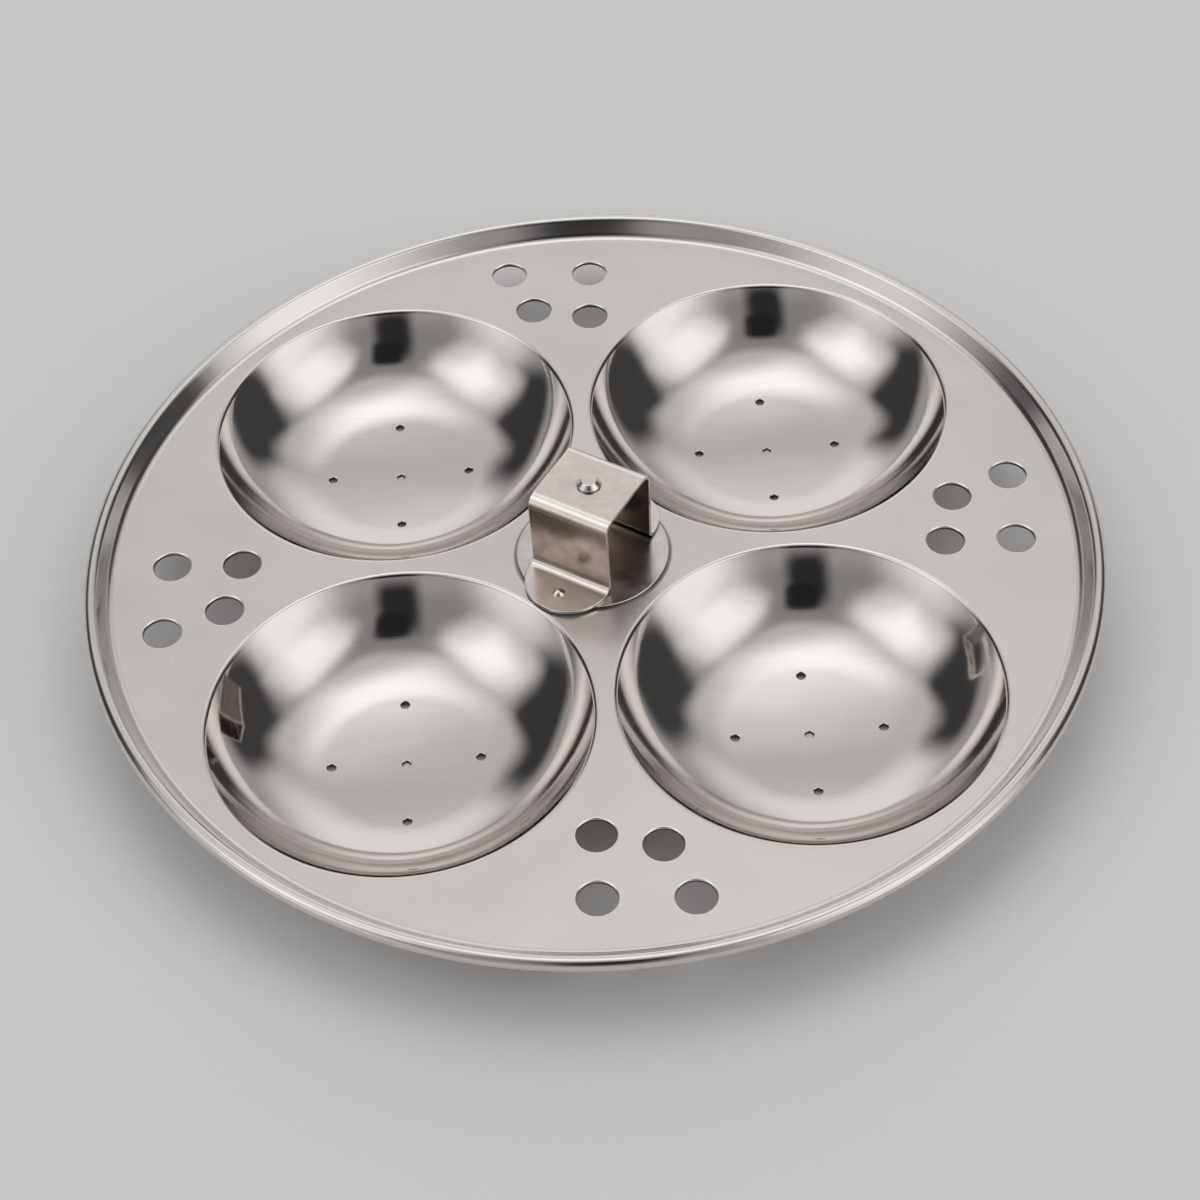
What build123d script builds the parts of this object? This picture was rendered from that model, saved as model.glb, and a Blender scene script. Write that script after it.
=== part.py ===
from build123d import *
import os
from math import acos, asin, cos, degrees, radians, sin, sqrt, tan

# A pressed steel plate with four cups for steaming, to be stacked with others like it.
# The sheet carries the cups, the steam holes and a raised rim with a rolled lip. A round
# disc and a bent strap are riveted to its centre, and a button on the strap's top enters
# the centre hole of the next plate. Millimetres and degrees, +Z up. The origin is on the
# plate's axis, level with the lowest points of the cups, which the plate stands on.

# Pressed sheet and its rim
plate_diameter = 200.0
sheet_thickness = 0.7
rim_height = 3.5
rim_slope = 55.0
rim_foot_round = 1.2
lip_inside_round = 0.3
lip_sweep = 205.0

# Cups: a nearly flat, domed bottom with drip holes, and a round wall that steepens to the mouth
cup_depth = 14.0
cup_web = 4.0
cup_margin = 4.6
cup_edge_inside_round = 0.5
cup_bottom_radius = 160.0
cup_mouth_slope = 58.0
drip_hole_diameter = 1.7
drip_circle_diameter = 28.6

# Steam holes: each pair holds a hole's distance from the centre, as a share of the
# plate's radius, and its angle from the middle of the gap between two cups
steam_hole_diameter = 8.0
steam_hole_shares = [(0.695, -3.0), (0.73, 6.5), (0.834, -3.0), (0.855, 8.8)]

# Strap, bent to a bridge with two rounded feet
strap_width = 17.2
strap_thickness = 0.6
strap_turn = 56.5
bridge_length = 17.4
bridge_height = 18.4
bridge_lean = 0.4
top_bend_inside_round = 1.8
foot_bend_round = 1.5
foot_length = 9.2

# Rivets through the feet, the disc and the sheet
rivet_to_foot_end = 4.6
rivet_head_diameter = 2.7
rivet_head_height = 0.8
rivet_shank_diameter = 1.6
rivet_tail_diameter = 2.6
rivet_tail_height = 0.5

# Disc between the sheet and the strap
disc_thickness = 0.6
disc_past_rivets = 1.7

# Button on the bridge, sized for the centre hole of the plate above
button_diameter = 4.6
button_base_height = 0.5
button_cone_height = 0.8
button_crown_diameter = 2.9
button_crown_round = 0.2
button_shank_diameter = 2.6
button_tail_diameter = 3.8
button_tail_height = 0.6

shank_clearance = 0.05
locating_clearance = 0.4
overrun = 1.0

# Levels
sheet_top = cup_depth + sheet_thickness
disc_top = sheet_top + disc_thickness
foot_top = disc_top + strap_thickness
bridge_top = disc_top + bridge_height

# Places that the pieces share
plate_radius = plate_diameter / 2
locating_hole_radius = button_diameter / 2 + locating_clearance
feet_length = bridge_length + 2 * foot_length
rivet_spacing = feet_length - 2 * rivet_to_foot_end
strap_along = (cos(radians(strap_turn)), sin(radians(strap_turn)), 0)
strap_across = (sin(radians(strap_turn)), -cos(radians(strap_turn)), 0)
strap_plan = Plane(origin=(0, 0, disc_top), x_dir=strap_along, z_dir=(0, 0, 1))
strap_side = Plane(origin=(0, 0, disc_top), x_dir=strap_along, z_dir=strap_across)

# The rivet holes pass through three pieces, which are all cut with this one sketch
riveted_thickness = sheet_thickness + disc_thickness + strap_thickness
with BuildSketch(strap_plan) as rivet_holes:
    with GridLocations(rivet_spacing, 0, 2, 1):
        Circle(rivet_shank_diameter / 2 + shank_clearance)


def cut_rivet_holes():
    """Cut the two rivet holes through the riveted stack, out of the piece being built."""
    extrude(
        rivet_holes.sketch, amount=riveted_thickness + overrun, both=True, mode=Mode.SUBTRACT
    )


# Rim section: the lip is a circle, and the wall leaves it as a tangent down to the sheet
lip_round = lip_inside_round + sheet_thickness
lip_centre_radius = plate_radius - lip_round
lip_centre_level = sheet_top + rim_height - lip_round
wall_top_radius = lip_centre_radius - lip_round * sin(radians(rim_slope))
wall_top_level = lip_centre_level + lip_round * cos(radians(rim_slope))
wall_foot_radius = wall_top_radius - (wall_top_level - sheet_top) / tan(radians(rim_slope))

# Cup plan: four cups fill the level sheet, a web apart and a margin inside the rim wall
cup_radius = (wall_foot_radius - cup_margin - cup_web / sqrt(2)) / (1 + sqrt(2))
cup_spacing = 2 * cup_radius + cup_web

# Cup section: the wall's arc ends at the mouth, at its slope, and touches the bottom's arc from
# inside, so the two arcs' centres are as far apart as their radii differ. The edge's arc touches
# the wall's arc from outside and the level sheet
mouth_height = cup_depth - cup_bottom_radius
mouth_slope = radians(cup_mouth_slope)
mouth_reach = mouth_height * cos(mouth_slope) - cup_radius * sin(mouth_slope)
mouth_gap = cup_bottom_radius**2 - cup_radius**2 - mouth_height**2
cup_wall_round = mouth_gap / (2 * (cup_bottom_radius + mouth_reach))
wall_centre_radius = cup_radius - cup_wall_round * sin(mouth_slope)
bottom_slope = degrees(asin(wall_centre_radius / (cup_bottom_radius - cup_wall_round)))
cup_edge_round = cup_edge_inside_round + sheet_thickness
edge_height = cup_wall_round * cos(mouth_slope) + cup_edge_round
cup_edge_slope = degrees(acos(edge_height / (cup_wall_round + cup_edge_round)))
cup_land = cup_edge_round

with BuildPart() as cup:
    with BuildSketch(Plane.XZ):
        with BuildLine():
            for depth in (0, sheet_thickness):
                bottom = JernArc(
                    start=(0, sheet_thickness - depth),
                    tangent=(1, 0),
                    radius=cup_bottom_radius + depth,
                    arc_size=bottom_slope,
                )
                cup_wall = JernArc(
                    start=bottom @ 1,
                    tangent=bottom % 1,
                    radius=cup_wall_round + depth,
                    arc_size=cup_edge_slope - bottom_slope,
                )
                cup_edge = JernArc(
                    start=cup_wall @ 1,
                    tangent=cup_wall % 1,
                    radius=cup_edge_round - depth,
                    arc_size=-cup_edge_slope,
                )
                Line(cup_edge @ 1, (cup_radius + cup_land, sheet_top - depth))
            Line((0, 0), (0, sheet_thickness))
            Line((cup_radius + cup_land, cup_depth), (cup_radius + cup_land, sheet_top))
        make_face()
    revolve(axis=Axis.Z)
    Hole(drip_hole_diameter / 2)
    with PolarLocations(drip_circle_diameter / 2, 4):
        Hole(drip_hole_diameter / 2)

with BuildPart() as plate:
    with BuildSketch(Plane.XZ):
        with BuildLine():
            wall = FilletPolyline(
                (0, sheet_top),
                (wall_foot_radius, sheet_top),
                (wall_top_radius, wall_top_level),
                radius=rim_foot_round,
            )
            JernArc(
                start=wall @ 1,
                tangent=wall % 1,
                radius=lip_round,
                arc_size=-lip_sweep,
            )
            offset(amount=sheet_thickness, side=Side.RIGHT)
        make_face()
    revolve(axis=Axis.Z)
    with GridLocations(cup_spacing, cup_spacing, 2, 2):
        Hole(cup_radius + cup_land)
        add(cup.part)
    Hole(locating_hole_radius)
    for radius_share, angle in steam_hole_shares:
        with PolarLocations(radius_share * plate_radius, 4, start_angle=angle):
            Hole(steam_hole_diameter / 2)
    cut_rivet_holes()

with BuildPart() as disc:
    with BuildSketch(Plane.XY.offset(sheet_top)):
        Circle(rivet_spacing / 2 + disc_past_rivets)
        Circle(locating_hole_radius, mode=Mode.SUBTRACT)
    extrude(amount=disc_thickness)
    cut_rivet_holes()

# Strap: its upper surface is one bent line, thickened downwards and cut to round feet
leg_foot = bridge_length / 2 - bridge_lean
top_bend_round = top_bend_inside_round + strap_thickness
with BuildPart() as strap:
    with BuildSketch(strap_side):
        with BuildLine():
            FilletPolyline(
                (-feet_length / 2, strap_thickness),
                (-leg_foot, strap_thickness),
                (-bridge_length / 2, bridge_height),
                (bridge_length / 2, bridge_height),
                (leg_foot, strap_thickness),
                (feet_length / 2, strap_thickness),
                radius=[foot_bend_round, top_bend_round, top_bend_round, foot_bend_round],
            )
            offset(amount=strap_thickness, side=Side.RIGHT)
        make_face()
    extrude(amount=strap_width / 2, both=True)
    with BuildSketch(strap_plan.offset(-overrun)):
        SlotOverall(feet_length, strap_width)
    extrude(amount=bridge_height + 2 * overrun, mode=Mode.INTERSECT)
    cut_rivet_holes()
    Hole(button_shank_diameter / 2 + shank_clearance)

with BuildPart() as button:
    with BuildSketch(Plane.XZ):
        with BuildLine():
            Polyline(
                (0, bridge_top + button_base_height + button_cone_height),
                (button_crown_diameter / 2, bridge_top + button_base_height + button_cone_height),
                (button_diameter / 2, bridge_top + button_base_height),
                (button_diameter / 2, bridge_top),
                (button_shank_diameter / 2, bridge_top),
                (button_shank_diameter / 2, bridge_top - strap_thickness),
                (button_tail_diameter / 2, bridge_top - strap_thickness),
                (button_tail_diameter / 2, bridge_top - strap_thickness - button_tail_height),
                (0, bridge_top - strap_thickness - button_tail_height),
                close=True,
            )
        make_face()
    revolve(axis=Axis.Z)
    fillet(edges().group_by(Axis.Z)[-1], button_crown_round)

rivet_head_radius = rivet_head_diameter / 2
rivet_dome = (rivet_head_radius**2 + rivet_head_height**2) / (2 * rivet_head_height)
with BuildPart() as rivet:
    with BuildSketch(Plane.XZ):
        with BuildLine():
            dome = JernArc(
                start=(0, foot_top + rivet_head_height),
                tangent=(1, 0),
                radius=rivet_dome,
                arc_size=-degrees(asin(rivet_head_radius / rivet_dome)),
            )
            Polyline(
                dome @ 1,
                (rivet_shank_diameter / 2, foot_top),
                (rivet_shank_diameter / 2, cup_depth),
                (rivet_tail_diameter / 2, cup_depth),
                (rivet_tail_diameter / 2, cup_depth - rivet_tail_height),
                (0, cup_depth - rivet_tail_height),
                dome @ 0,
            )
        make_face()
    revolve(axis=Axis.Z)

with BuildPart() as foot_rivets:
    with PolarLocations(rivet_spacing / 2, 2, start_angle=strap_turn):
        add(rivet.part)

os.makedirs("parts", exist_ok=True)
pieces = {
    "idli_plate": plate,
    "seat_disc": disc,
    "strap_bracket": strap,
    "locating_button": button,
    "foot_rivets": foot_rivets,
}
for name, piece in pieces.items():
    piece.part.label = name
    export_step(piece.part, f"parts/{name}.step")
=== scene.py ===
import math

import bpy
from mathutils import Matrix, Vector
from mathutils.geometry import delaunay_2d_cdt


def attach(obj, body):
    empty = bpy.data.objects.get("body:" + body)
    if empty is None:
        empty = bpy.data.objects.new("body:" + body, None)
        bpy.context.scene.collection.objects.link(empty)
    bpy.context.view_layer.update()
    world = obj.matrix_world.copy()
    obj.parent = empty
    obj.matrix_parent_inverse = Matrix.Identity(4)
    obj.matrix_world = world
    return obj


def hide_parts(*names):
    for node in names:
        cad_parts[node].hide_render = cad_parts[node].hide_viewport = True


# Looks for a pressed steel plate with four polished cups. The sheet is rebuilt finely, with
# its true surface normal at every corner, because the cups mirror the lights.

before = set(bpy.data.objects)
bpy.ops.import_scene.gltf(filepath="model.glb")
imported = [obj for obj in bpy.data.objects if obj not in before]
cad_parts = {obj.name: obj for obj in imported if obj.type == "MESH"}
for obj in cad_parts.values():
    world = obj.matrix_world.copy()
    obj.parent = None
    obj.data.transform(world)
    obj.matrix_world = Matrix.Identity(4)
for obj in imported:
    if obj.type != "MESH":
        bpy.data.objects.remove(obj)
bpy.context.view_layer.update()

# Sizes in millimetres and angles in radians. They are the solid model's, but the rim's lip and
# foot are rounder here, and the edges of the holes, the button and the rivets are rounded
MM = 0.001
SHEET = 0.7
SHEET_TOP = 14.7
RIM_RADIUS = 100.0
RIM_HEIGHT = 3.5
RIM_SLOPE = math.radians(55.0)
RIM_FOOT_ROUND = 2.2
LIP_ROUND = 1.5
LIP_SWEEP = math.radians(205.0)
CUP_DEPTH = 14.0
CUP_RADIUS = 36.7
CUP_OFFSET = 38.7
CUP_EDGE_ROUND = 1.2
CUP_BOTTOM_ROUND = 160.0
CUP_MOUTH_SLOPE = math.radians(58.0)
DRIP_RADIUS = 0.85
DRIP_CIRCLE = 14.3
STEAM_RADIUS = 4.0
STEAM_PLACES = [(69.5, -3.0), (73.0, 6.5), (83.4, -3.0), (85.5, 8.8)]
CENTRE_HOLE_RADIUS = 2.7
FOOT_TOP = 15.9
BRIDGE_TOP = 33.7
STRAP_SHEET = 0.6
STRAP_TURN = math.radians(56.5)
DISC_RADIUS = 15.0
DRIP_EDGE_ROUND = 0.2
STEAM_EDGE_ROUND = 0.3

# Button on the strap's top
BUTTON_RADIUS = 2.3
BUTTON_BASE_HEIGHT = 0.5
BUTTON_HEIGHT = 1.3
BUTTON_CROWN_RADIUS = 1.45
BUTTON_EDGE_ROUND = 0.3
BUTTON_SHANK_RADIUS = 1.3
BUTTON_TAIL_RADIUS = 1.9
BUTTON_TAIL_HEIGHT = 0.6
BUTTON_TAIL_ROUND = 0.2

# Rivets through the strap's feet
RIVET_OFFSET = 13.3
RIVET_HEAD_RADIUS = 1.35
RIVET_HEAD_HEIGHT = 0.8
RIVET_SHANK_RADIUS = 0.8
RIVET_TAIL_RADIUS = 1.3
RIVET_TAIL_HEIGHT = 0.5
RIVET_TAIL_ROUND = 0.15

# Fineness of the rebuilt pieces, in steps round a circle and then along the sections' arcs
RIM_STEPS = 288
CUP_STEPS = 144
HOLE_STEPS = 48
DRIP_STEPS = 24
BUTTON_STEPS = 48
RIVET_STEPS = 36
CUP_BOTTOM_STEPS = 9
CUP_WALL_STEPS = 34
CUP_EDGE_STEPS = 9
RIM_FOOT_STEPS = 8
LIP_STEPS = 28
LIP_INSIDE_STEPS = 16
STEAM_EDGE_STEPS = 5
DRIP_EDGE_STEPS = 3
RIVET_DOME_STEPS = 12

# Floor, far larger than the plate, in millimetres
FLOOR_RADIUS = 2900.0
FLOOR_WALL_HEIGHT = 270.0
FLOOR_SWEEP_ROUND = 240.0
FLOOR_STEPS = 96
FLOOR_SWEEP_STEPS = 12


class Skin:
    """A mesh gathered face by face, with its own normal at every corner."""

    def __init__(self):
        self.places = {}
        self.points = []
        self.faces = []
        self.normals = []

    def add(self, corners):
        """Add a face from (point, normal) pairs, wound to look the way its normals do."""
        start = Vector(corners[0][0])
        spokes = [Vector(corner[0]) - start for corner in corners]
        area = sum((a.cross(b) for a, b in zip(spokes, spokes[1:])), Vector())
        if area.dot(sum((Vector(corner[1]) for corner in corners), Vector())) < 0:
            corners = corners[::-1]
        face = []
        normals = []
        for point, normal in corners:
            key = tuple(round(value, 4) for value in point)
            if key not in self.places:
                self.places[key] = len(self.points)
                self.points.append([value * MM for value in point])
            if self.places[key] not in face:
                face.append(self.places[key])
                normals.append(normal)
        if len(face) > 2:
            self.faces.append(face)
            self.normals.extend(normals)

    def band(self, rows):
        """Join closed rings of (point, normal) pairs, each ring to the next."""
        for low, high in zip(rows, rows[1:]):
            for k in range(len(low)):
                self.add([low[k - 1], low[k], high[k], high[k - 1]])

    def build(self, name):
        """The finished object, shaded by the corner normals."""
        mesh = bpy.data.meshes.new(name)
        mesh.from_pydata(self.points, [], self.faces)
        mesh.polygons.foreach_set("use_smooth", [True] * len(mesh.polygons))
        mesh.normals_split_custom_set(self.normals)
        piece = bpy.data.objects.new(name, mesh)
        bpy.context.scene.collection.objects.link(piece)
        return piece


def circle(centre, radius, steps):
    """Points round a circle in plan."""
    turns = [2 * math.pi * k / steps for k in range(steps)]
    return [(centre[0] + radius * math.cos(t), centre[1] + radius * math.sin(t)) for t in turns]


def arc(centre, radius, start, end, steps, side=1):
    """Section points on an arc as (radius, height, normal out, normal up); side -1 faces in."""
    rows = []
    for k in range(steps + 1):
        turn = start + (end - start) * k / steps
        out, up = math.cos(turn), math.sin(turn)
        rows.append((centre[0] + radius * out, centre[1] + radius * up, side * out, side * up))
    return rows


def lathe_ring(row, steps):
    """One section point turned about the axis, as (point, normal) pairs."""
    radius, height, out, up = row
    ring = []
    for x, y in circle((0, 0), 1.0, steps):
        ring.append(((radius * x, radius * y, height), (out * x, out * y, up)))
    return ring


def lathe(skin, rows, centre, steps):
    """Turn section rows about an upright line."""
    rings = []
    for row in rows:
        ring = lathe_ring(row, steps)
        rings.append([((p[0] + centre[0], p[1] + centre[1], p[2]), n) for p, n in ring])
    skin.band(rings)


def outline(corners, rounds, steps=6):
    """Section rows along a line of (radius, height) corners, each with its own round."""
    rows = []
    last = None
    for before, corner, after, size in zip(corners, corners[1:], corners[2:], rounds):
        into = (Vector(corner) - Vector(before)).normalized()
        onward = (Vector(after) - Vector(corner)).normalized()
        turn = math.atan2(into.cross(onward), into.dot(onward))
        start = Vector(corner) - into * size * math.tan(abs(turn) / 2)
        facing = Vector((-into.y, into.x))
        side = 1 if turn < 0 else -1
        centre = start - facing * size * side
        if last is None:
            rows.append((*before, *facing))
        for k in range(steps + 1):
            spin = turn * k / steps
            out = facing.x * math.cos(spin) - facing.y * math.sin(spin)
            up = facing.x * math.sin(spin) + facing.y * math.cos(spin)
            rows.append((centre.x + size * side * out, centre.y + size * side * up, out, up))
        last = onward
    rows.append((*corners[-1], -last.y, last.x))
    return rows


def cup_places():
    """Centres of the cups."""
    return [(sx * CUP_OFFSET, sy * CUP_OFFSET) for sx in (-1, 1) for sy in (-1, 1)]


def steam_places():
    """Centres of the steam holes."""
    places = []
    for quarter in range(4):
        for radius, angle in STEAM_PLACES:
            turn = math.radians(90 * quarter + angle)
            places.append((radius * math.cos(turn), radius * math.sin(turn)))
    return places


# Cup section, measured from the centre of its mouth: arcs of the bottom, wall and edge
MOUTH_HEIGHT = CUP_DEPTH - CUP_BOTTOM_ROUND
MOUTH_REACH = MOUTH_HEIGHT * math.cos(CUP_MOUTH_SLOPE) - CUP_RADIUS * math.sin(CUP_MOUTH_SLOPE)
MOUTH_GAP = CUP_BOTTOM_ROUND**2 - CUP_RADIUS**2 - MOUTH_HEIGHT**2
WALL_ROUND = MOUTH_GAP / (2 * (CUP_BOTTOM_ROUND + MOUTH_REACH))
WALL_CENTRE = (
    CUP_RADIUS - WALL_ROUND * math.sin(CUP_MOUTH_SLOPE),
    WALL_ROUND * math.cos(CUP_MOUTH_SLOPE),
)
BOTTOM_CENTRE = (0.0, -MOUTH_HEIGHT)
BOTTOM_SLOPE = math.asin(WALL_CENTRE[0] / (CUP_BOTTOM_ROUND - WALL_ROUND))
EDGE_SLOPE = math.acos((WALL_CENTRE[1] + CUP_EDGE_ROUND) / (WALL_ROUND + CUP_EDGE_ROUND))
EDGE_CENTRE = (
    WALL_CENTRE[0] + (WALL_ROUND + CUP_EDGE_ROUND) * math.sin(EDGE_SLOPE),
    -CUP_EDGE_ROUND,
)


def cup_section(depth, side):
    """Section of the cup's surface at this depth into the sheet, from the centre outwards."""
    down, up = -math.pi / 2, math.pi / 2
    foot, mouth = down + BOTTOM_SLOPE, down + EDGE_SLOPE
    bottom = arc(BOTTOM_CENTRE, CUP_BOTTOM_ROUND + depth, down, foot, CUP_BOTTOM_STEPS, -side)
    wall = arc(WALL_CENTRE, WALL_ROUND + depth, foot, mouth, CUP_WALL_STEPS, -side)
    edge = arc(EDGE_CENTRE, CUP_EDGE_ROUND - depth, up + EDGE_SLOPE, up, CUP_EDGE_STEPS, side)
    return bottom[1:] + wall[1:] + edge[1:]


def on_cup(place, depth, side):
    """Point and normal of the cup's bottom or wall over a place in plan."""
    reach = max(math.hypot(*place), 1e-9)
    centre, ball = BOTTOM_CENTRE, CUP_BOTTOM_ROUND + depth
    if reach > ball * math.sin(BOTTOM_SLOPE):
        centre, ball = WALL_CENTRE, WALL_ROUND + depth
    lean = (reach - centre[0]) / ball
    rise = math.sqrt(1 - lean**2)
    normal = (-side * lean * place[0] / reach, -side * lean * place[1] / reach, side * rise)
    return (place[0], place[1], centre[1] - ball * rise), normal


def fill(loops, loose, inside, lift):
    """Triangles of a flat region, lifted onto its surface, as lists of (point, normal) pairs.

    loops are closed outlines and loose single points, all in plan. inside keeps a triangle by
    its middle, and lift gives a plan point its point and normal.
    """
    points = []
    edges = []
    for loop in loops:
        first = len(points)
        points.extend(Vector(p) for p in loop)
        edges.extend((first + k, first + (k + 1) % len(loop)) for k in range(len(loop)))
    points.extend(Vector(p) for p in loose)
    flat, _, triangles, _, _, _ = delaunay_2d_cdt(points, edges, [], 0, 1e-6)
    lifted = [lift(p) for p in flat]
    kept = []
    for triangle in triangles:
        middle = sum((flat[k] for k in triangle), Vector((0, 0))) / 3
        if inside(middle):
            kept.append([lifted[k] for k in triangle])
    return kept


def cup_skin(skin, depth, side):
    """One side of a cup with its drip holes, added at all four places."""
    section = cup_section(depth, side)
    hole = DRIP_RADIUS + (DRIP_EDGE_ROUND if side > 0 else 0)
    drips = [(0, 0)] + circle((0, 0), DRIP_CIRCLE, 4)

    # The middle is filled round the drip holes, and the rest is rings
    filled_past_drips = 4.0
    clear_of_drips = 0.4
    fewest_steps, steps_per_radius = 24, 5
    inner = [row for row in section if row[0] < DRIP_CIRCLE + filled_past_drips]
    outer = section[len(inner) - 1 :]
    loose = []
    for row in inner[:-1]:
        steps = max(fewest_steps, int(row[0] * steps_per_radius))
        for place in circle((0, 0), row[0], steps):
            if min(math.dist(place, drip) for drip in drips) > hole + clear_of_drips:
                loose.append(place)
    loops = [circle((0, 0), inner[-1][0], CUP_STEPS)]
    loops += [circle(drip, hole, DRIP_STEPS) for drip in drips]

    def inside(middle):
        return min(math.dist(middle, drip) for drip in drips) > hole * 0.99

    faces = fill(loops, loose, inside, lambda place: on_cup(place, depth, side))
    rows = [lathe_ring(row, CUP_STEPS) for row in outer]
    for low, high in zip(rows, rows[1:]):
        for k in range(CUP_STEPS):
            faces.append([low[k - 1], low[k], high[k], high[k - 1]])
    if side > 0:
        for drip in drips:
            faces += drip_wall(drip)
    for x, y in cup_places():
        for face in faces:
            skin.add([((p[0] + x, p[1] + y, p[2] + SHEET_TOP), n) for p, n in face])


def drip_wall(drip):
    """Faces of a drip hole's wall, with a small round where the punch came in."""
    spokes = circle((0, 0), 1.0, DRIP_STEPS)
    rings = []
    for k in range(DRIP_EDGE_STEPS + 1):
        turn = math.pi / 2 * k / DRIP_EDGE_STEPS
        radius = DRIP_RADIUS + DRIP_EDGE_ROUND * (1 - math.sin(turn))
        sink = DRIP_EDGE_ROUND * (1 - math.cos(turn))
        ring = []
        for place, spoke in zip(circle(drip, radius, DRIP_STEPS), spokes):
            point, normal = on_cup(place, 0.0, 1)
            inward = Vector((-spoke[0], -spoke[1], 0))
            facing = Vector(normal) * math.cos(turn) + inward * math.sin(turn)
            ring.append(((point[0], point[1], point[2] - sink), facing.normalized()))
        rings.append(ring)
    low = []
    for place, corner in zip(circle(drip, DRIP_RADIUS, DRIP_STEPS), rings[-1]):
        low.append((on_cup(place, SHEET, -1)[0], corner[1]))
    rings.append(low)
    faces = []
    for a, b in zip(rings, rings[1:]):
        for k in range(DRIP_STEPS):
            faces.append([a[k - 1], a[k], b[k], b[k - 1]])
    return faces


def level_skin(skin, side, foot_radius):
    """One side of the level sheet between the cups, with its holes."""
    height = SHEET_TOP if side > 0 else SHEET_TOP - SHEET
    mouth = EDGE_CENTRE[0]
    hole = STEAM_RADIUS - (0 if side > 0 else STEAM_EDGE_ROUND)
    cups = cup_places()
    steams = steam_places()
    loops = [circle((0, 0), foot_radius, RIM_STEPS)]
    loops += [circle(c, mouth, CUP_STEPS) for c in cups]
    loops += [circle(s, hole, HOLE_STEPS) for s in steams]
    loops += [circle((0, 0), CENTRE_HOLE_RADIUS, HOLE_STEPS)]

    def inside(m):
        clear_of_cups = min(math.dist(m, c) for c in cups) > mouth * 0.9999
        clear_of_steams = min(math.dist(m, s) for s in steams) > hole * 0.998
        return clear_of_cups and clear_of_steams and CENTRE_HOLE_RADIUS < m.length < foot_radius

    for face in fill(loops, [], inside, lambda p: ((p[0], p[1], height), (0, 0, side))):
        skin.add(face)


def punched_wall(skin, centre, radius, edge_round, steps):
    """The wall of a hole through the level sheet, rounded in from its size at the top."""
    middle = (radius, SHEET_TOP - edge_round)
    section = arc(middle, edge_round, math.pi / 2, math.pi, STEAM_EDGE_STEPS)
    section.append((radius - edge_round, SHEET_TOP - SHEET, -1, 0))
    lathe(skin, section, centre, steps)


def rim_rows():
    """Section of the rim from the level sheet's top, round the lip and back underneath."""
    lip_centre = (RIM_RADIUS - LIP_ROUND, SHEET_TOP + RIM_HEIGHT - LIP_ROUND)
    lip_start = RIM_SLOPE + math.pi / 2
    wall_top = (
        lip_centre[0] + LIP_ROUND * math.cos(lip_start),
        lip_centre[1] + LIP_ROUND * math.sin(lip_start),
    )
    wall_foot = wall_top[0] - (wall_top[1] - SHEET_TOP) / math.tan(RIM_SLOPE)
    foot_radius = wall_foot - RIM_FOOT_ROUND * math.tan(RIM_SLOPE / 2)
    down = -math.pi / 2
    foot_centre = (foot_radius, SHEET_TOP + RIM_FOOT_ROUND)
    foot_end = down + RIM_SLOPE
    end = lip_start - LIP_SWEEP
    upper = arc(foot_centre, RIM_FOOT_ROUND, down, foot_end, RIM_FOOT_STEPS, -1)
    upper += arc(lip_centre, LIP_ROUND, lip_start, end, LIP_STEPS)
    lower = arc(foot_centre, RIM_FOOT_ROUND + SHEET, down, foot_end, RIM_FOOT_STEPS)
    lower += arc(lip_centre, LIP_ROUND - SHEET, lip_start, end, LIP_INSIDE_STEPS, -1)
    edge = (math.sin(end), -math.cos(end))
    cut = [(*upper[-1][:2], *edge), (*lower[-1][:2], *edge)]
    return foot_radius, upper, cut, lower


def build_plate():
    """The whole pressed sheet as one fine mesh."""
    skin = Skin()
    foot_radius, upper, cut, lower = rim_rows()
    for rows in (upper, cut, lower):
        skin.band([lathe_ring(row, RIM_STEPS) for row in rows])
    for depth, side in ((0, 1), (SHEET, -1)):
        cup_skin(skin, depth, side)
        level_skin(skin, side, foot_radius)
    for place in steam_places():
        punched_wall(skin, place, STEAM_RADIUS, STEAM_EDGE_ROUND, HOLE_STEPS)
    punched_wall(skin, (0, 0), CENTRE_HOLE_RADIUS, 0.0, HOLE_STEPS)
    return skin.build("plate_fine")


def build_button():
    """The locating button: a cone with a flat crown on a short base, and its tail below."""
    skin = Skin()
    below = BRIDGE_TOP - STRAP_SHEET
    corners = [
        (0.0, BRIDGE_TOP + BUTTON_HEIGHT),
        (BUTTON_CROWN_RADIUS, BRIDGE_TOP + BUTTON_HEIGHT),
        (BUTTON_RADIUS, BRIDGE_TOP + BUTTON_BASE_HEIGHT),
        (BUTTON_RADIUS, BRIDGE_TOP),
        (BUTTON_SHANK_RADIUS, BRIDGE_TOP),
        (BUTTON_SHANK_RADIUS, below),
        (BUTTON_TAIL_RADIUS, below),
        (BUTTON_TAIL_RADIUS, below - BUTTON_TAIL_HEIGHT),
        (0.0, below - BUTTON_TAIL_HEIGHT),
    ]
    rounds = [BUTTON_EDGE_ROUND, BUTTON_EDGE_ROUND, 0.0, 0.0, 0.0, 0.0, BUTTON_TAIL_ROUND]
    lathe(skin, outline(corners, rounds), (0, 0), BUTTON_STEPS)
    return skin.build("button_fine")


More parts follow.
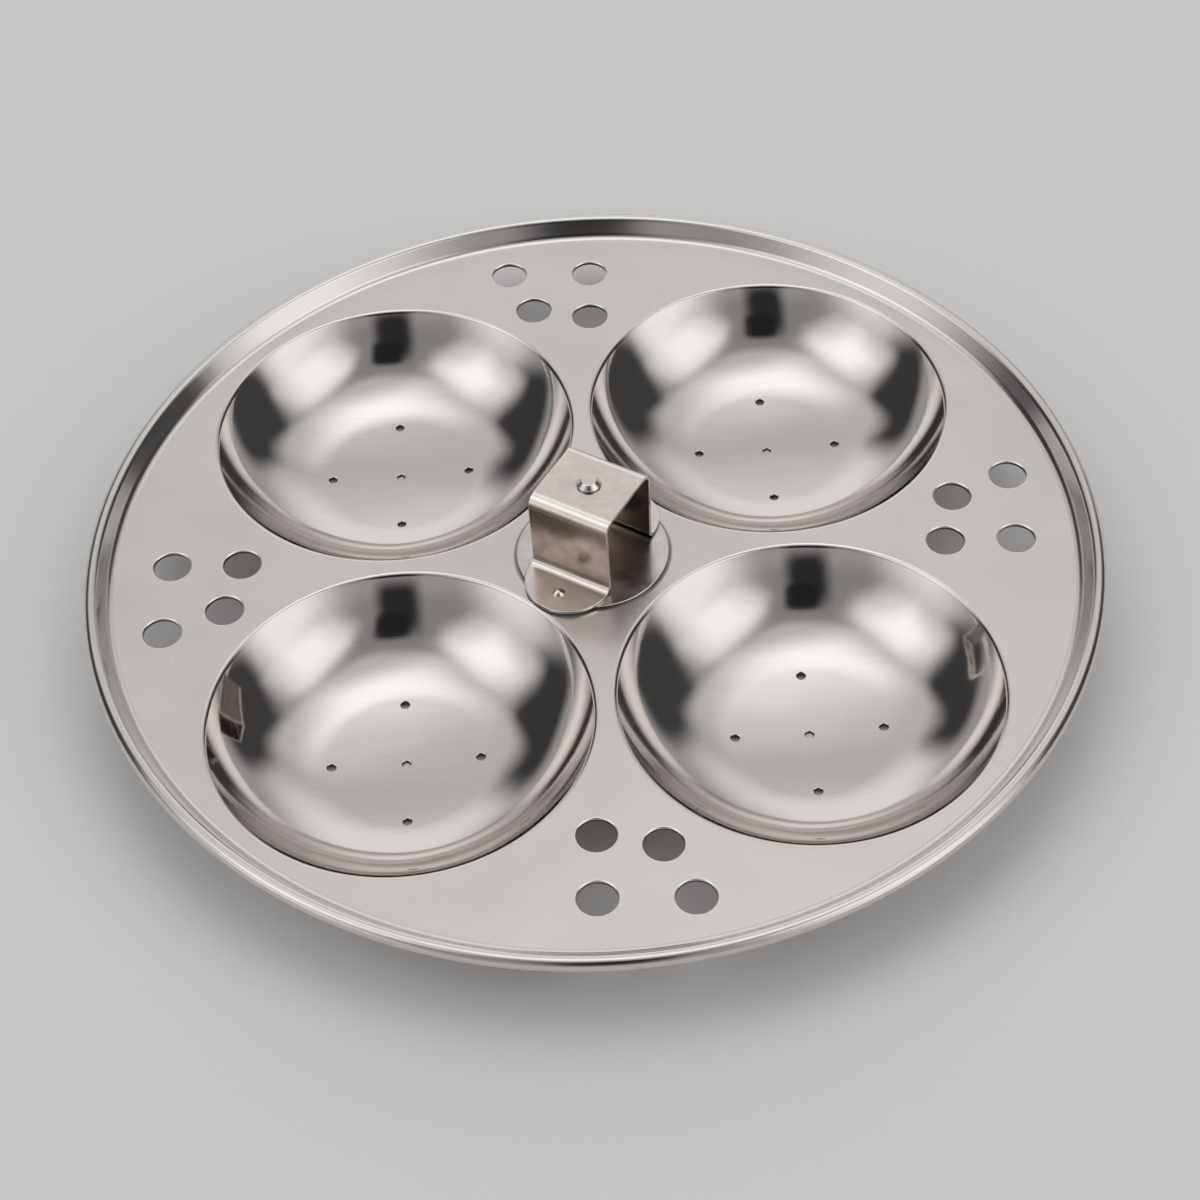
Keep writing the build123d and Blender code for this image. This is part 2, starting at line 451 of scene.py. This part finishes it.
def build_rivets():
    """The two domed rivets through the strap's feet, with their tails under the sheet."""
    skin = Skin()
    ball = (RIVET_HEAD_RADIUS**2 + RIVET_HEAD_HEIGHT**2) / (2 * RIVET_HEAD_HEIGHT)
    lean = math.asin(RIVET_HEAD_RADIUS / ball)
    ball_centre = (0.0, FOOT_TOP + RIVET_HEAD_HEIGHT - ball)
    dome = arc(ball_centre, ball, math.pi / 2, math.pi / 2 - lean, RIVET_DOME_STEPS)
    under = SHEET_TOP - SHEET
    corners = [
        (RIVET_HEAD_RADIUS, FOOT_TOP),
        (RIVET_SHANK_RADIUS, FOOT_TOP),
        (RIVET_SHANK_RADIUS, under),
        (RIVET_TAIL_RADIUS, under),
        (RIVET_TAIL_RADIUS, under - RIVET_TAIL_HEIGHT),
        (0.0, under - RIVET_TAIL_HEIGHT),
    ]
    rows = dome + outline(corners, [0.0, 0.0, 0.0, RIVET_TAIL_ROUND])
    for side in (-1, 1):
        centre = (
            side * RIVET_OFFSET * math.cos(STRAP_TURN),
            side * RIVET_OFFSET * math.sin(STRAP_TURN),
        )
        lathe(skin, rows, centre, RIVET_STEPS)
    return skin.build("rivets_fine")


plate = build_plate()
button = build_button()
rivets = build_rivets()
for piece, node, slot in (
    (plate, "idli_plate", "polished_sheet"),
    (button, "locating_button", "turned_steel"),
    (rivets, "foot_rivets", "turned_steel"),
):
    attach(piece, "root")
    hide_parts(node)


class Nodes:
    """A short way to write node trees."""

    def __init__(self, tree):
        self.tree = tree

    def make(self, kind, inputs=None, **settings):
        """A node with its settings, and its inputs set to values or linked from sockets."""
        node = self.tree.nodes.new(kind)
        for name, value in settings.items():
            setattr(node, name, value)
        for key, value in (inputs or {}).items():
            if isinstance(value, bpy.types.NodeSocket):
                self.tree.links.new(value, node.inputs[key])
            else:
                node.inputs[key].default_value = value
        return node

    def math(self, operation, *values):
        """A maths node's result."""
        return self.make("ShaderNodeMath", dict(enumerate(values)), operation=operation).outputs[0]

    def vector(self, operation, *values):
        """A vector maths node, whose output is picked by the caller."""
        return self.make("ShaderNodeVectorMath", dict(enumerate(values)), operation=operation)

    def noise(self, place, scale, detail=2.0, roughness=0.5):
        """Noise from 0 to 1 at a place."""
        inputs = {"Vector": place, "Scale": scale, "Detail": detail, "Roughness": roughness}
        return self.make("ShaderNodeTexNoise", inputs).outputs["Fac"]

    def ramp(self, value, low, high, start, end, smooth=False):
        """value from low..high mapped to start..end."""
        inputs = {0: value, 1: low, 2: high, 3: start, 4: end}
        kind = "SMOOTHSTEP" if smooth else "LINEAR"
        return self.make("ShaderNodeMapRange", inputs, interpolation_type=kind).outputs[0]

    def mix(self, factor, a, b):
        """Two colours mixed."""
        node = self.make("ShaderNodeMix", {0: factor, 6: a, 7: b}, data_type="RGBA")
        return node.outputs[2]

    def blend(self, factor, a, b):
        """Two values mixed."""
        return self.make("ShaderNodeMix", {0: factor, 2: a, 3: b}).outputs[0]

    def height_of(self, vector):
        """A vector's upward part."""
        return self.make("ShaderNodeSeparateXYZ", {0: vector}).outputs[2]

    def reach(self, a, b):
        """The length of a plan vector from its two parts."""
        squares = self.math("ADD", self.math("POWER", a, 2.0), self.math("POWER", b, 2.0))
        return self.math("SQRT", squares)


# Roughness, colours and haze of the finishes. A pair holds the two ends that noise runs between
SHEET_ROUGHNESS = (0.24, 0.30)
SHEET_METALLIC = 0.82
SHEET_COLOURS = ((0.70, 0.655, 0.63, 1), (0.76, 0.715, 0.69, 1))
CUP_ROUGHNESS = (0.055, 0.085)
CUP_COLOURS = ((0.65, 0.615, 0.595, 1), (0.72, 0.685, 0.662, 1))
RIM_ADDED_ROUGHNESS = 0.07
SHEARED_ROUGHNESS = 0.5
SATIN_SPREAD = 0.03
WORN_ROUGHNESS = 0.16
FLOOR_ROUGHNESS = 0.9
FLOOR_COLOURS = ((0.85, 0.845, 0.84, 1), (0.88, 0.875, 0.87, 1))

# Colours of painted highlights on edges, and of painted shade on the holes' walls, by the disc and
# in corners
HOLE_HIGHLIGHT_COLOUR = (0.86, 0.83, 0.81, 1)
WORN_EDGE_HIGHLIGHT = (0.88, 0.85, 0.82, 1)
HOLE_WALL_SHADE = (0.13, 0.115, 0.105, 1)
DISC_EDGE_SHADE = (0.10, 0.085, 0.075, 1)
CORNER_SHADE_COLOUR = (0.07, 0.06, 0.055, 1)


def new_material(name):
    """An empty metal material: its nodes, its shader and the place on the object in mm."""
    material = bpy.data.materials.new(name)
    material.use_nodes = True
    nodes = Nodes(material.node_tree)
    shader = material.node_tree.nodes["Principled BSDF"]
    shader.inputs["Metallic"].default_value = 1.0
    coordinates = nodes.make("ShaderNodeTexCoord").outputs["Object"]
    place = nodes.vector("SCALE", coordinates)
    place.inputs["Scale"].default_value = 1 / MM
    return material, nodes, shader, place.outputs[0]


def corner_shade(nodes, reach):
    """0 in the open and 1 in narrow corners, from ambient occlusion, for the painted shade there.
    """
    inputs = {"Distance": reach * MM}
    open_sky = nodes.make("ShaderNodeAmbientOcclusion", inputs, samples=8).outputs["AO"]
    return nodes.ramp(open_sky, 0.4, 0.9, 1.0, 0.0, True)


def plate_material():
    """Satin sheet, with polished cups, rim and hole edges."""
    material, nodes, shader, place = new_material("polished_sheet_steel")
    link = material.node_tree.links.new
    x, y, z = nodes.make("ShaderNodeSeparateXYZ", {0: place}).outputs

    # Polished is whatever lies in a cup or isn't level
    across = nodes.math("SUBTRACT", nodes.math("ABSOLUTE", x), CUP_OFFSET)
    along = nodes.math("SUBTRACT", nodes.math("ABSOLUTE", y), CUP_OFFSET)
    from_cup = nodes.reach(across, along)
    in_cup = nodes.ramp(from_cup, CUP_RADIUS + 0.6, CUP_RADIUS + 0.4, 0.0, 1.0)
    facing = nodes.make("ShaderNodeNewGeometry").outputs["Normal"]
    upward = nodes.height_of(facing)
    level = nodes.math("ABSOLUTE", upward)
    off_level = nodes.ramp(level, 0.985, 0.9995, 1.0, 0.0)
    polished = nodes.math("MAXIMUM", in_cup, off_level)

    # Buffing marks run round the cups, a fine grain lies on the sheet, and the sheet is wavy
    cup_place = nodes.make("ShaderNodeCombineXYZ", {0: nodes.math("MULTIPLY", from_cup, 3.0), 1: z})
    rings = nodes.noise(cup_place.outputs[0], 1.4, 3.0)
    stretched = nodes.vector("MULTIPLY", place, (0.06, 1.6, 0.6)).outputs[0]
    strokes = nodes.noise(stretched, 1.0, 4.0, 0.6)
    grain = nodes.noise(place, 4.0, 4.0, 0.7)
    smudges = nodes.noise(place, 0.045, 3.0, 0.55)
    waves = nodes.noise(place, 0.05, 1.0)

    sheet_roughness = nodes.math(
        "ADD",
        nodes.ramp(smudges, 0.3, 0.7, *SHEET_ROUGHNESS),
        nodes.ramp(grain, 0.3, 0.7, -0.005, 0.005),
    )
    polish = nodes.math(
        "ADD",
        nodes.ramp(smudges, 0.3, 0.7, *CUP_ROUGHNESS),
        nodes.ramp(strokes, 0.35, 0.65, -0.01, 0.015),
    )

    # The rim and the hole edges are less polished than the cups
    rim_gloss = nodes.math("ADD", polish, RIM_ADDED_ROUGHNESS)
    polish = nodes.blend(in_cup, rim_gloss, polish)
    roughness = nodes.blend(polished, sheet_roughness, polish)

    # The punch shears the holes' walls dull, and they are painted dark as shade; their rounded
    # edges take a painted highlight
    sheared_and_shaded = nodes.math(
        "MULTIPLY",
        nodes.ramp(level, 0.45, 0.3, 0.0, 1.0),
        nodes.ramp(z, SHEET_TOP - 0.24, SHEET_TOP - 0.32, 0.0, 1.0),
    )
    hole_edge_highlight = nodes.math(
        "MULTIPLY",
        nodes.math("SUBTRACT", polished, in_cup),
        nodes.ramp(z, SHEET_TOP + 0.02, SHEET_TOP, 0.0, 1.0),
    )
    link(nodes.blend(sheared_and_shaded, roughness, SHEARED_ROUGHNESS), shader.inputs["Roughness"])

    # Fine scratches haze the level sheet
    link(nodes.blend(polished, SHEET_METALLIC, 1.0), shader.inputs["Metallic"])

    sheet_colour = nodes.mix(smudges, *SHEET_COLOURS)
    polish_colour = nodes.mix(strokes, *CUP_COLOURS)
    colour = nodes.mix(polished, sheet_colour, polish_colour)
    # Painted highlight: the holes' rounded edges take a brighter colour
    colour = nodes.mix(hole_edge_highlight, colour, HOLE_HIGHLIGHT_COLOUR)
    # Painted shade: the holes' walls take a near-black colour
    colour = nodes.mix(sheared_and_shaded, colour, HOLE_WALL_SHADE)

    # Painted shade lies in the corner along the disc's edge, on top of the sheet
    painted_shade = nodes.math(
        "MULTIPLY",
        nodes.ramp(nodes.reach(x, y), DISC_RADIUS + 0.9, DISC_RADIUS + 0.3, 0.0, 0.9, True),
        nodes.ramp(smudges, 0.3, 0.7, 0.7, 1.0),
    )
    painted_shade = nodes.math("MULTIPLY", painted_shade, nodes.ramp(upward, 0.0, 0.5, 0.0, 1.0))
    link(nodes.mix(painted_shade, colour, DISC_EDGE_SHADE), shader.inputs["Base Color"])

    buffing = nodes.math("MULTIPLY", nodes.math("MULTIPLY", rings, in_cup), 0.35)
    height = nodes.math("ADD", buffing, nodes.math("MULTIPLY", grain, 0.008))
    fine = nodes.make("ShaderNodeBump", {"Strength": 0.03, "Distance": 0.0002, "Height": height})
    broad = nodes.make(
        "ShaderNodeBump",
        {"Strength": 0.25, "Distance": 0.0008, "Height": waves, "Normal": fine.outputs[0]},
    )
    link(broad.outputs[0], shader.inputs["Normal"])
    return material


def satin_material(name, colour, roughness, stroke_scale, edge, shade_reach, cut_side=None, leg_shade=None):
    """Satin steel with faint strokes and stains, with wear and a painted highlight along edges,
    and painted shade in narrow corners.

    edge is the width of the rounds that take the wear and the highlight, and the shade's reach is
    how far the corner shade looks, both in mm. Without an edge, the rounds between level and
    upright faces take them. With a cut_side, the faces square to it and the feet's upright faces
    take a painted highlight as cut edges, and other upright faces take a darker colour, painted
    shade.
    """
    material, nodes, shader, place = new_material(name)
    link = material.node_tree.links.new
    strokes = nodes.noise(nodes.vector("MULTIPLY", place, stroke_scale).outputs[0], 1.0, 4.0, 0.6)
    grain = nodes.noise(place, 5.0, 3.0, 0.6)
    stains = nodes.noise(place, 0.25, 3.0, 0.55)
    dark = tuple(0.93 * c for c in colour) + (1,)
    light = tuple(min(1.0, 1.05 * c) for c in colour) + (1,)
    streaks = nodes.math("MULTIPLY", strokes, 0.3)
    blotches = nodes.math("ADD", nodes.math("MULTIPLY", stains, 0.7), streaks)
    tone = nodes.mix(nodes.ramp(blotches, 0.35, 0.65, 0.0, 1.0), dark, light)

    # Wear and a painted highlight lie where the rounded normal leaves the face's own, or on the
    # rounds by level faces
    facing = nodes.make("ShaderNodeNewGeometry").outputs["Normal"]
    level = nodes.math("ABSOLUTE", nodes.height_of(facing))
    if edge:
        rounded = nodes.make("ShaderNodeBevel", {"Radius": edge * MM}, samples=8).outputs[0]
        flat = nodes.vector("DOT_PRODUCT", rounded, facing).outputs["Value"]
        wear_and_highlight = nodes.ramp(flat, 0.995, 0.93, 0.0, 1.0)
    else:
        rounded = facing
        off_level = nodes.ramp(level, 0.999, 0.93, 0.0, 0.5, True)
        wear_and_highlight = nodes.math("MULTIPLY", off_level, nodes.ramp(level, 0.62, 0.8, 0.0, 1.0, True))
    # Painted shade darkens narrow corners, found by ambient occlusion
    painted_shade = nodes.math("MULTIPLY", corner_shade(nodes, shade_reach), 0.85)
    if cut_side:
        square = nodes.vector("DOT_PRODUCT", facing, cut_side).outputs["Value"]
        cut = nodes.ramp(nodes.math("ABSOLUTE", square), 0.9, 0.97, 0.0, 1.0)
        height = nodes.height_of(place)
        upright = nodes.math(
            "MULTIPLY",
            nodes.ramp(level, 0.6, 0.2, 0.0, 1.0, True),
            nodes.ramp(stains, 0.3, 0.7, 0.7, 1.0),
        )
        # Painted shade: upright faces take a darker colour
        tone = nodes.mix(upright, tone, (*leg_shade, 1))
        foot = nodes.math(
            "MULTIPLY",
            nodes.ramp(level, 0.2, 0.1, 0.0, 1.0),
            nodes.ramp(height, FOOT_TOP + 0.02, FOOT_TOP - 0.02, 0.0, 1.0),
        )
        wear_and_highlight = nodes.math("MAXIMUM", wear_and_highlight, nodes.math("MAXIMUM", cut, foot))

        # Edges with the wear and highlight, and the feet, take little of the painted shade
        on_foot = nodes.ramp(height, FOOT_TOP + 1.5, FOOT_TOP, 0.0, 1.0, True)
        off_foot = nodes.ramp(on_foot, 0.0, 1.0, 1.0, 0.1)
        kept = nodes.math("MULTIPLY", nodes.math("SUBTRACT", 1.0, wear_and_highlight), off_foot)
        painted_shade = nodes.math("MULTIPLY", painted_shade, kept)
    # Painted highlight: edges with wear take a brighter colour
    tone = nodes.mix(nodes.math("MULTIPLY", wear_and_highlight, 0.85), tone, WORN_EDGE_HIGHLIGHT)
    # Painted shade in the corners
    link(nodes.mix(painted_shade, tone, CORNER_SHADE_COLOUR), shader.inputs["Base Color"])

    marks = nodes.math("ADD", stains, strokes)
    spread = nodes.ramp(marks, 0.7, 1.3, roughness - SATIN_SPREAD, roughness + SATIN_SPREAD)
    link(nodes.blend(wear_and_highlight, spread, WORN_ROUGHNESS), shader.inputs["Roughness"])
    scratches = nodes.math("ADD", strokes, grain)
    inputs = {"Strength": 0.02, "Distance": 0.0002, "Height": scratches, "Normal": rounded}
    bump = nodes.make("ShaderNodeBump", inputs)
    link(bump.outputs[0], shader.inputs["Normal"])
    return material


plate.data.materials.append(plate_material())
button.data.materials.append(
    satin_material(
        "button_steel",
        colour=(0.76, 0.71, 0.68),
        roughness=0.24,
        stroke_scale=(1, 1, 1),
        edge=0,
        shade_reach=0.8,
    )
)
rivets.data.materials.append(
    satin_material(
        "rivet_steel",
        colour=(0.72, 0.67, 0.64),
        roughness=0.22,
        stroke_scale=(1, 1, 1),
        edge=0,
        shade_reach=0.5,
    )
)
finishes = {
    "seat_disc": satin_material(
        "disc_steel",
        colour=(0.72, 0.68, 0.655),
        roughness=0.2,
        stroke_scale=(0.5, 0.5, 0.5),
        edge=0.2,
        shade_reach=1.0,
    ),
    "strap_bracket": satin_material(
        "strap_steel",
        colour=(0.82, 0.755, 0.705),
        roughness=0.2,
        stroke_scale=(0.3, 2.0, 1.0),
        edge=0.16,
        shade_reach=13.0,
        cut_side=(math.sin(STRAP_TURN), -math.cos(STRAP_TURN), 0),
        # Darker colour for the strap's upright faces, painted shade
        leg_shade=(0.30, 0.24, 0.205),
    ),
}
for node, material in finishes.items():
    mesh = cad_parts[node].data
    mesh.materials.clear()
    mesh.materials.append(material)


def build_floor():
    """A plain pale floor that sweeps up to a low wall all round, far from the plate."""
    skin = Skin()
    corners = [(0.0, 0.0), (FLOOR_RADIUS, 0.0), (FLOOR_RADIUS, FLOOR_WALL_HEIGHT)]
    rows = outline(corners, [FLOOR_SWEEP_ROUND], FLOOR_SWEEP_STEPS)
    lathe(skin, rows, (0, 0), FLOOR_STEPS)
    floor = skin.build("floor")
    material = bpy.data.materials.new("floor_paper")
    material.use_nodes = True
    shader = material.node_tree.nodes["Principled BSDF"]
    nodes = Nodes(material.node_tree)
    fibre = nodes.noise(nodes.make("ShaderNodeTexCoord").outputs["Object"], 900.0, 4.0)
    material.node_tree.links.new(nodes.mix(fibre, *FLOOR_COLOURS), shader.inputs["Base Color"])
    shader.inputs["Roughness"].default_value = FLOOR_ROUGHNESS
    floor.data.materials.append(material)


# Studio round the plate: rounded boxes of light laid over each other on a plain level. Each has
# its middle, its half sizes and its turn in degrees, on a map with the zenith in the middle, +X to
# the right and +Y up, where a point's distance from the middle is its angle from the zenith.
# Then come its brightness, the softness of its edge and how much it widens towards its own +Y.
STUDIO_LEVEL = 0.40
STUDIO = [
    ("room in front", (3, -34), (43, 22), -3, 0.30, 0.34, -0.17),
    ("wall on the right", (79, -43), (42, 29), -12, 1.18, 0.54, 0.06),
    ("wall on the left", (-88, -46), (35, 37), 9, 1.02, 0.54, 0.11),
    ("wall at the rear", (0, 70), (25, 22), 0, 0.98, 0.67, -0.40),
    ("dark behind on the left", (-51, 33), (17, 34), -47, 0.05, 0.27, -0.09),
    ("dark behind on the right", (64, 24), (20, 32), 53, 0.06, 0.27, 0.01),
    ("overhead sheet", (1, 16), (30, 28), -7, 0.64, 0.19, 0.45),
    ("overhead lamp", (1, 17), (17, 13), 20, 1.42, 0.90, 0.0),
    ("left panel", (-40, -7), (19, 25), 16, 0.78, 0.30, 0.20),
    ("left lamp", (-38, -5), (13, 13), 6, 1.40, 0.86, -0.19),
    ("right panel", (37, -18), (15, 25), -23, 0.84, 0.30, 0.09),
    ("right lamp", (38, -18), (15, 15), -36, 1.28, 0.69, 0.21),
    ("camera stand", (-3, -47), (11, 21), 0, 0.03, 0.40, -0.21),
    ("camera", (1, -33), (8, 10), 0, 0.02, 0.26, 0.0),
]


def build_world():
    """The studio's light, painted by direction."""
    world = bpy.data.worlds.new("studio")
    bpy.context.scene.world = world
    world.use_nodes = True
    nodes = Nodes(world.node_tree)
    background = world.node_tree.nodes["Background"]
    direction = nodes.make("ShaderNodeTexCoord").outputs["Generated"]
    height = nodes.height_of(direction)
    angle = nodes.math("MULTIPLY", nodes.math("ARCCOSINE", height), math.degrees(1))
    level = nodes.vector("NORMALIZE", nodes.vector("MULTIPLY", direction, (1, 1, 0)).outputs[0])
    place = nodes.vector("SCALE", level.outputs[0])
    world.node_tree.links.new(angle, place.inputs["Scale"])
    corner_power, narrowest = 4.0, 0.2
    light = STUDIO_LEVEL
    for _, centre, size, turn, brightness, softness, widening in STUDIO:
        inputs = {
            "Vector": place.outputs[0],
            "Location": (*centre, 0),
            "Rotation": (0, 0, math.radians(turn)),
            "Scale": (*size, 1),
        }
        local = nodes.make("ShaderNodeMapping", inputs, vector_type="TEXTURE").outputs[0]
        across, along, _ = nodes.make("ShaderNodeSeparateXYZ", {0: local}).outputs
        width = nodes.math("MULTIPLY_ADD", along, widening, 1.0)
        width = nodes.math("MAXIMUM", width, narrowest)
        across = nodes.math("POWER", nodes.math("DIVIDE", across, width), corner_power)
        reach = nodes.math("ADD", across, nodes.math("POWER", along, corner_power))
        reach = nodes.math("POWER", reach, 1 / corner_power)
        cover = nodes.ramp(reach, 1 - softness, 1 + softness, 1.0, 0.0, True)
        light = nodes.blend(cover, light, brightness)
    world.node_tree.links.new(light, background.inputs["Color"])


def build_camera():
    """The camera, above the plate's front, placed by its elevation, turn and tilt."""
    image_width, sensor_width = 1200.0, 36.0
    focal_pixels, distance = 2645.78, 522.34
    elevation, turn, tilt = (math.radians(a) for a in (47.98, -1.23, -3.26))
    shift_right, shift_up = 1.41, -9.4
    back = Vector(
        (
            math.sin(turn) * math.cos(elevation),
            -math.cos(turn) * math.cos(elevation),
            math.sin(elevation),
        )
    )
    level = Vector((math.cos(turn), math.sin(turn), 0))
    rise = back.cross(level)
    right = level * math.cos(tilt) + rise * math.sin(tilt)
    up = -level * math.sin(tilt) + rise * math.cos(tilt)
    place = right * shift_right + up * shift_up + back * distance + Vector((0, 0, SHEET_TOP))
    data = bpy.data.cameras.new("camera")
    data.sensor_width = sensor_width
    data.lens = focal_pixels * sensor_width / image_width
    data.clip_start = 0.01
    camera = bpy.data.objects.new("camera", data)
    turned = Matrix((right, up, back)).transposed().to_4x4()
    camera.matrix_world = Matrix.Translation(place * MM) @ turned
    bpy.context.scene.collection.objects.link(camera)
    bpy.context.scene.camera = camera


build_floor()
build_world()
build_camera()
bpy.context.scene.view_settings.view_transform = "Standard"
